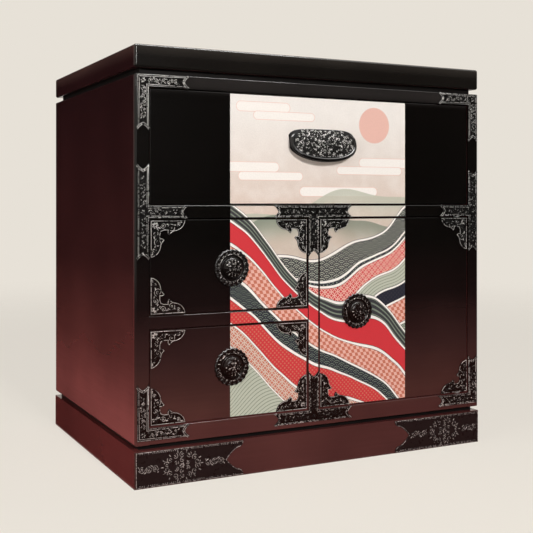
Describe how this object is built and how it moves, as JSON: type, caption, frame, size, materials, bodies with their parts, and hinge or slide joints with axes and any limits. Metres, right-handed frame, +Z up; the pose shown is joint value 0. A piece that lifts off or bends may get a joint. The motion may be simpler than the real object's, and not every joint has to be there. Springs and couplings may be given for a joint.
{
  "type": "side cabinet",
  "caption": "Lacquered tansu-style side cabinet with a drop-front flap, drawers, a door and black iron fittings, on a plinth.",
  "frame": {"origin": "on the floor, in the middle of the cabinet's box, pull included", "axes": "+X to the right across the front, +Y from the front to the back, +Z up"},
  "size_m": [0.58, 0.4412, 0.6],
  "materials": {
    "lacquer": "dark maroon lacquer, glossy",
    "pale_wood": "bare pale wood",
    "print": "printed sheet under clear lacquer",
    "iron": "black, embossed, half gloss",
    "steel": "plain zinc steel",
    "brass": "turned brass",
    "catch": "matt black"
  },
  "bodies": {
    "carcass": {"top_board": "lacquer", "top_neck_battens": "lacquer", "carcass_top": "lacquer", "carcass_bottom": "lacquer", "side_left": "lacquer", "side_right": "lacquer", "mid_board": "lacquer", "divider": "lacquer", "drawer_rail": "lacquer", "base_neck_battens": "lacquer", "plinth_front": "lacquer", "plinth_back": "lacquer", "plinth_left": "lacquer", "plinth_right": "lacquer", "back_board": "pale_wood", "drawer_runners": "pale_wood", "drawer_stops": "pale_wood", "plinth_corner_blocks": "pale_wood", "door_shelf": "pale_wood", "frame_print": "print", "corner_brackets_top": "iron", "corner_brackets_bottom": "iron", "side_brackets": "iron", "centre_bracket_top": "iron", "centre_bracket_bottom": "iron", "plinth_straps": "iron", "frame_nails": "iron", "neck_screws": "steel", "pivot_pins": "steel", "shelf_pins": "steel", "magnet_catches": "catch"},
    "flap": {"flap_panel": "lacquer", "flap_print": "print", "flap_pull": "iron", "flap_pull_screws": "steel", "flap_strike": "steel", "flap_friction_cartridges": "steel"},
    "upper_drawer": {"upper_drawer_front": "lacquer", "upper_drawer_sides": "pale_wood", "upper_drawer_back": "pale_wood", "upper_drawer_bottom": "pale_wood", "upper_drawer_print": "print", "upper_drawer_knob": "iron", "upper_drawer_corner_plates": "iron", "upper_drawer_fixings": "iron"},
    "lower_drawer": {"lower_drawer_front": "lacquer", "lower_drawer_sides": "pale_wood", "lower_drawer_back": "pale_wood", "lower_drawer_bottom": "pale_wood", "lower_drawer_print": "print", "lower_drawer_knob": "iron", "lower_drawer_corner_plates": "iron", "lower_drawer_fixings": "iron"},
    "door": {"door_panel": "lacquer", "door_print": "print", "door_knob": "iron", "door_corner_plates": "iron", "door_fixings": "iron", "door_strike": "steel", "door_pivot_bushes": "brass"}
  },
  "joints": [
    {"name": "flap_hinge", "type": "hinge", "parent": "carcass", "child": "flap", "pos_m": [0, -0.198, 0.3975], "axis": [1, 0, 0], "range_deg": [0, 90]},
    {"name": "upper_drawer_slide", "type": "slide", "parent": "carcass", "child": "upper_drawer", "axis": [0, -1, 0], "range_m": [0, 0.27]},
    {"name": "lower_drawer_slide", "type": "slide", "parent": "carcass", "child": "lower_drawer", "axis": [0, -1, 0], "range_m": [0, 0.27]},
    {"name": "door_hinge", "type": "hinge", "parent": "carcass", "child": "door", "pos_m": [0.252, -0.198, 0.22275], "axis": [0, 0, 1], "range_deg": [0, 110]}
  ]
}
